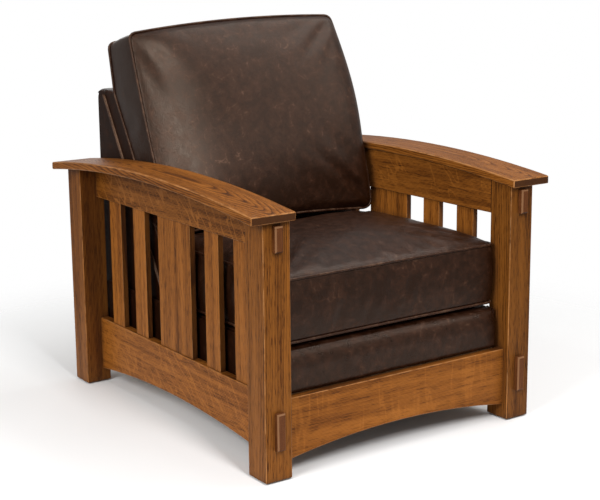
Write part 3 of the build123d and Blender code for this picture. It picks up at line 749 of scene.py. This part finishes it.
def backPlace(u, v, w):
    spec = backCushion
    halfW = spec["halfWidth"] - spec["piping"] - spec["draw"] * swellShare(w, 2)
    x, along = roundCorner(u, w, halfW, spec["halfHeight"], spec["cornerRadius"][w > 0])
    t = (along / spec["halfHeight"] + 1) / 2
    foot, top = Vector(spec["foot"]), Vector(spec["top"])
    run = (top - foot).normalized()
    out = Vector((-run.y, run.x))
    front = foot.lerp(top, t)
    front -= out * spec["hollow"] * swellShare(2 * t - 1, 2)
    if v < -outer:
        # The left side rounds off slowly, the right side is filled out to its piping
        start, power, ease = spec["leftRound"]
        if u < 0:
            across = (1 - (max(0.0, -u - start) / (1 - start)) ** power) ** ease
        else:
            across = math.sqrt(swellShare(u, spec["rightRound"]))
        front += out * spec["crown"] * across * math.sqrt(swellShare(w, 8))
    rearFoot = Vector((slopeY(foot.y) - spec["padLine"], foot.y))
    bend = Vector((slopeY(spec["bendHeight"]) - spec["padLine"], spec["bendHeight"]))
    rearTop = Vector(spec["rearTop"])
    share = spec["bendShare"]
    rear = rearFoot.lerp(bend, t / share) if t < share else bend.lerp(rearTop, (t - share) / (1 - share))
    spot = front.lerp(rear, (v + 1) / 2)
    rise = (spec["arch"] * swellShare(u, 2) + spec["rightRise"] * (u + 1) / 2) * t
    rise += spec["footArch"] * swellShare(u, 2) * (1 - t) ** 3
    if abs(w) > outer:
        spot += Vector((0, 1 if w > 0 else -0.3)) * spec["sideSwell"] * swellShare(v, 2)
    if abs(u) > outer:
        x += u * spec["sideSwell"] * swellShare(v, 2)
    atFoot, atTop, atMiddle = spec["rightAhead"]
    ahead = atFoot * (1 - t) + atTop * t + atMiddle * math.sin(math.pi * t ** 0.95)
    ahead *= ((u + 1) / 2) ** 3
    z = spot.y + rise
    above = z - spec["armTop"]
    if u > 0 and above > 0:
        x += spec["bulge"] * u ** 6 * math.sin(math.pi * min(1.0, above / spec["bulgeReach"]))
    return Vector((x, spot.x - ahead, z))


def backSeam(u, v, w):
    return abs(v) > outer and max(abs(u), abs(w)) > outer


def makeBackCushion():
    spec = backCushion
    piece, paths = paddedPiece("backCushionLeather", "back_cushion", spec["cuts"], backPlace, ["back_cushion"],
                               hide["back"], spec["fill"], backSeam, lambda u, v, w: v > outer, spec["sim"])
    pipeSeams(piece, paths, spec["piping"], "back_cushion", ["backPipingA", "backPipingB"])
    print("back cushion done")


def boxPlace(low, high, radius, axes, drift=0.0):
    # A soft box between two corners; axes are the two directions that the rounded corners lie in
    middle, half = (low + high) / 2, (high - low) / 2
    first, second = axes
    third = 3 - first - second

    def place(*unit):
        spot = Vector((0, 0, 0))
        spot[first], spot[second] = roundCorner(unit[first], unit[second], half[first], half[second], radius)
        spot[third] = unit[third] * half[third]
        spot += middle
        return spot + noise.noise_vector(spot * 9) * drift if drift else spot

    return place


deckBand = {
    "cuts": (90, 6, 36),
    "halfDepth": 15 * mm,
    "behind": 3.5 * mm,
    "topRoll": (46 * mm, 28 * mm),
    "footRoll": (12 * mm, 6 * mm),
    "endRoll": (0.035, 9 * mm),
    "belly": 2.5 * mm,
    "ripples": 1.1 * mm,
    "uneven": 0.9 * mm,
    "fill": 0.7,
}
deckPad = {
    "cuts": (40, 34, 3),
    "behind": 15 * mm,
    "cornerRadius": 6 * mm,
    "sink": 0.5 * mm,
    "fill": 0.6,
}
sidePanel = {
    "cuts": (2, 90, 16),
    "cornerRadius": 3 * mm,
    "uneven": 0.5 * mm,
    "fill": 0.4,
}


def makeDeck():
    spec = deckBand
    low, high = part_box("deck_front_band")
    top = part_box("deck_pad")[1].z - deckPad["sink"]
    halfZ = (top - low.z) / 2

    def bandPlace(u, v, w):
        z = w * halfZ
        fall = rolledOff(z - halfZ, *spec["topRoll"]) + rolledOff(-halfZ - z, *spec["footRoll"])
        fall += rolledOff(abs(u) - 1, *spec["endRoll"])
        y = v * spec["halfDepth"] + fall * (1 - v) / 2
        if v < 0:
            y += spec["belly"] * swellShare(w, 4) * swellShare(u, 12) * v
            y += spec["ripples"] * noise.noise(Vector((u * 26, w * 1.5, 3))) * swellShare(w, 4)
        spot = Vector((u * high.x, low.y + spec["behind"] + spec["halfDepth"] + y, (top + low.z) / 2 + z))
        return spot + noise.noise_vector(spot * 11) * spec["uneven"]

    paddedPiece("deckBandLeather", "frame", spec["cuts"], bandPlace, ["deck_front_band"], hide["deck"],
                spec["fill"])
    low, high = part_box("deck_pad")
    low.y += deckPad["behind"]
    paddedPiece("deckPadLeather", "frame", deckPad["cuts"],
                boxPlace(low, high, deckPad["cornerRadius"], (0, 1)), ["deck_pad"], hide["frame"],
                deckPad["fill"])
    for side in ("left", "right"):
        low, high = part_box(side + "_side_panel")
        place = boxPlace(low, high, sidePanel["cornerRadius"], (0, 2), sidePanel["uneven"])
        paddedPiece(side + "SideLeather", "frame", sidePanel["cuts"], place, [side + "_side_panel"],
                    hide["frame"], sidePanel["fill"])
    print("seat upholstery done")


backCovers = {
    "padCuts": (70, 6, 44),
    "padDepth": 51 * mm,
    "padCorner": 6 * mm,
    "padSwell": 1.5 * mm,
    "padClear": 0.2 * mm,
    "padFill": 0.7,
    "capCuts": (70, 16, 4),
    "capOver": 12 * mm,
    "capSink": 1 * mm,
    "capLeast": 1.5 * mm,
    "capCorner": 3 * mm,
    "capRear": (14 * mm, 8 * mm),
    "capEnds": (9 * mm, 5 * mm),
    "capFill": 0.6,
    "sideCuts": (1, 30, 44),
    "outsideCuts": (50, 1, 40),
    "outsideCorner": 5 * mm,
    "skinFill": 0.3,
    "welt": 2.6 * mm,
    "weltShifts": {"A": -2 * mm, "B": 3.2 * mm},
    "weltStand": 1 * mm,
    "weltInset": 4 * mm,
    "weltSteps": 40,
}


def makeBackCovers():
    spec = backCovers
    padLow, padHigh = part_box("back_pad")
    depth = spec["padDepth"] / math.cos(slope["lean"])

    def padPlace(u, v, w):
        x, z = roundCorner(u, w, padHigh.x, (padHigh.z - padLow.z) / 2, spec["padCorner"])
        z += (padHigh.z + padLow.z) / 2
        room = slopeY(z) - padLow.y - spec["padClear"]
        y = slopeY(z) - min(depth, room) * (1 - v) / 2
        if v < -outer and room > depth:
            y -= spec["padSwell"] * swellShare(u, 4) * swellShare(w, 4)
        return Vector((x, y, z))

    paddedPiece("backPadLeather", "back", spec["padCuts"], padPlace, ["back_pad"], hide["frame"],
                spec["padFill"], backSeam)

    outsideLow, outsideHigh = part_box("outside_back")
    capFoot = outsideHigh.z - spec["capSink"]
    capPlain = boxPlace(Vector((-padHigh.x, slopeY(outsideHigh.z) - spec["capOver"], capFoot)),
                        Vector((padHigh.x, outsideHigh.y + 0.5 * mm, padHigh.z)),
                        spec["capCorner"], (1, 2))

    def capPlace(u, v, w):
        # The top falls away in a curve to the rear and to both ends
        spot = capPlain(u, v, w)
        spot.z -= rolledOff(spot.y - outsideHigh.y, *spec["capRear"]) * (w + 1) / 2
        spot.z -= rolledOff(abs(spot.x) - padHigh.x, *spec["capEnds"]) * (w + 1) / 2
        spot.z = max(spot.z, capFoot + spec["capLeast"] * (w + 1) / 2)
        return spot

    paddedPiece("backCapLeather", "back", spec["capCuts"], capPlace, [], hide["frame"], spec["capFill"])

    sideLow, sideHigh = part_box("right_back_side")
    for side, sign in (("left", -1), ("right", 1)):
        def sidePlace(u, v, w):
            z = sideLow.z + (sideHigh.z - sideLow.z) * (w + 1) / 2
            y = slopeY(z) + (sideHigh.y - slopeY(z)) * (v + 1) / 2
            x = sign * (sideHigh.x - (sideHigh.x - sideLow.x) * (1 - u * sign) / 2)
            return Vector((x, y, z))

        paddedPiece(side + "WedgeLeather", "back", spec["sideCuts"], sidePlace, [side + "_back_side"],
                    hide["frame"], spec["skinFill"])
        x = sign * (sideHigh.x + spec["weltStand"])
        foot, rise = sideLow.z + spec["weltInset"], sideHigh.z - sideLow.z - 2 * spec["weltInset"]
        for row, shift in spec["weltShifts"].items():
            heights = [foot + rise * step / spec["weltSteps"] for step in range(spec["weltSteps"] + 1)]
            points = [Vector((x, slopeY(z) + shift, z)) for z in heights]
            cordTube(side + "DoubleWelt" + row, points, spec["welt"], "back", hide["welt"], closed=False)

    paddedPiece("outsideBackLeather", "back", spec["outsideCuts"],
                boxPlace(outsideLow, outsideHigh, spec["outsideCorner"], (0, 2)), ["outside_back"],
                hide["frame"], spec["skinFill"])
    print("back upholstery done")


# The camera was fitted to the straight edges of the chair; its angles are in radians
view = {
    "place": (-1.80116, -2.61278, 1.07733),
    "yaw": 0.5779,
    "pitch": 0.2012,
    "roll": -0.0162,
    "lens": 80.716,
    "sensor": 36,
    "nearest": 0.05,
    "shift": (0.075, -0.0408),
}


def makeCamera():
    yaw, pitch, roll = view["yaw"], view["pitch"], view["roll"]
    ahead = Vector((math.sin(yaw) * math.cos(pitch), math.cos(yaw) * math.cos(pitch), -math.sin(pitch)))
    right = Vector((math.cos(yaw), -math.sin(yaw), 0))
    up = right.cross(ahead)
    right, up = math.cos(roll) * right + math.sin(roll) * up, math.cos(roll) * up - math.sin(roll) * right
    data = bpy.data.cameras.new("camera")
    data.lens = view["lens"]
    data.sensor_width = view["sensor"]
    data.shift_x, data.shift_y = view["shift"]
    data.clip_start = view["nearest"]
    camera = bpy.data.objects.new("camera", data)
    scene.collection.objects.link(camera)
    camera.matrix_world = Matrix.Translation(view["place"]) @ Matrix((right, up, -ahead)).transposed().to_4x4()
    scene.camera = camera
    print("camera placed")


lamps = {
    "key": dict(place=(-3.05, -1.1, 2.1), size=(1.3, 1.5), power=77),
    "front": dict(place=(-0.5, -2.6, 2.5), size=(0.6, 1.1), power=66),
    "above": dict(place=(1.4, -0.2, 3.0), size=(1.6, 1.6), power=33),
    "right": dict(place=(1.9, -1.7, 2.3), size=(1.0, 1.0), power=8),
    "behind": dict(place=(1.2, 3.2, 1.8), size=(1.6, 1.2), power=14),
}
studio = {
    "colour": (1.0, 0.985, 0.96, 1),
    "strength": 0.35,
    "glossyWhite": 0.2,  # the share of the white ground that glossy rays see
    "aim": (0, 0, 0.4),
}


def makeLamps():
    for name, lamp in lamps.items():
        data = bpy.data.lights.new(name, "AREA")
        data.shape = "RECTANGLE"
        data.size, data.size_y = lamp["size"]
        data.energy = lamp["power"]
        light = bpy.data.objects.new(name, data)
        scene.collection.objects.link(light)
        aim = Vector(studio["aim"]) - Vector(lamp["place"])
        light.location = lamp["place"]
        light.rotation_euler = aim.to_track_quat("-Z", "Y").to_euler()
    world = bpy.data.worlds.new("studio")
    scene.world = world
    world.use_nodes = True
    tree = world.node_tree
    tree.nodes.clear()
    light = put(tree, "Background", {"Color": studio["colour"], "Strength": studio["strength"]}).outputs[0]
    white = put(tree, "Background", {"Color": (1, 1, 1, 1), "Strength": 1.0}).outputs[0]
    path = put(tree, "LightPath").outputs
    seen = sums(tree, "ADD", path["Is Camera Ray"], path["Is Transmission Ray"])
    seen = sums(tree, "MULTIPLY_ADD", path["Is Glossy Ray"], studio["glossyWhite"], seen, clamp=True)
    both = put(tree, "MixShader", {0: seen, 1: light, 2: white}).outputs[0]
    tree.links.new(both, put(tree, "OutputWorld").inputs["Surface"])
    print("lamps placed:", len(lamps))


ground = {
    "radius": 4.0,
    "sides": 96,
    "colour": (0.93, 0.93, 0.93, 1),
    "fade": (0.62, 1.5),  # from the floor to the clear ground, measured from the middle
}


def makeFloor():
    bm = bmesh.new()
    bmesh.ops.create_circle(bm, cap_ends=True, segments=ground["sides"], radius=ground["radius"])
    mesh = bpy.data.meshes.new("floor")
    bm.to_mesh(mesh)
    bm.free()
    floor = bpy.data.objects.new("floor", mesh)
    scene.collection.objects.link(floor)
    material = bpy.data.materials.new("paleFloor")
    material.use_nodes = True
    tree = material.node_tree
    tree.nodes.clear()
    place = put(tree, "TexCoord").outputs["Object"]
    reach = put(tree, "VectorMath", {0: place}, operation="LENGTH").outputs["Value"]
    fade = between(tree, reach, *ground["fade"])
    matt = put(tree, "BsdfDiffuse", {"Color": ground["colour"]}).outputs[0]
    clear = put(tree, "BsdfTransparent").outputs[0]
    both = put(tree, "MixShader", {0: fade, 1: matt, 2: clear}).outputs[0]
    tree.links.new(both, put(tree, "OutputMaterial").inputs["Surface"])
    mesh.materials.append(material)
    print("floor laid")


scene.view_settings.view_transform = "Standard"
dressBoards()
dressHidden()
makeSeatCushion()
makeBackCushion()
makeDeck()
makeBackCovers()
makeFloor()
makeLamps()
makeCamera()
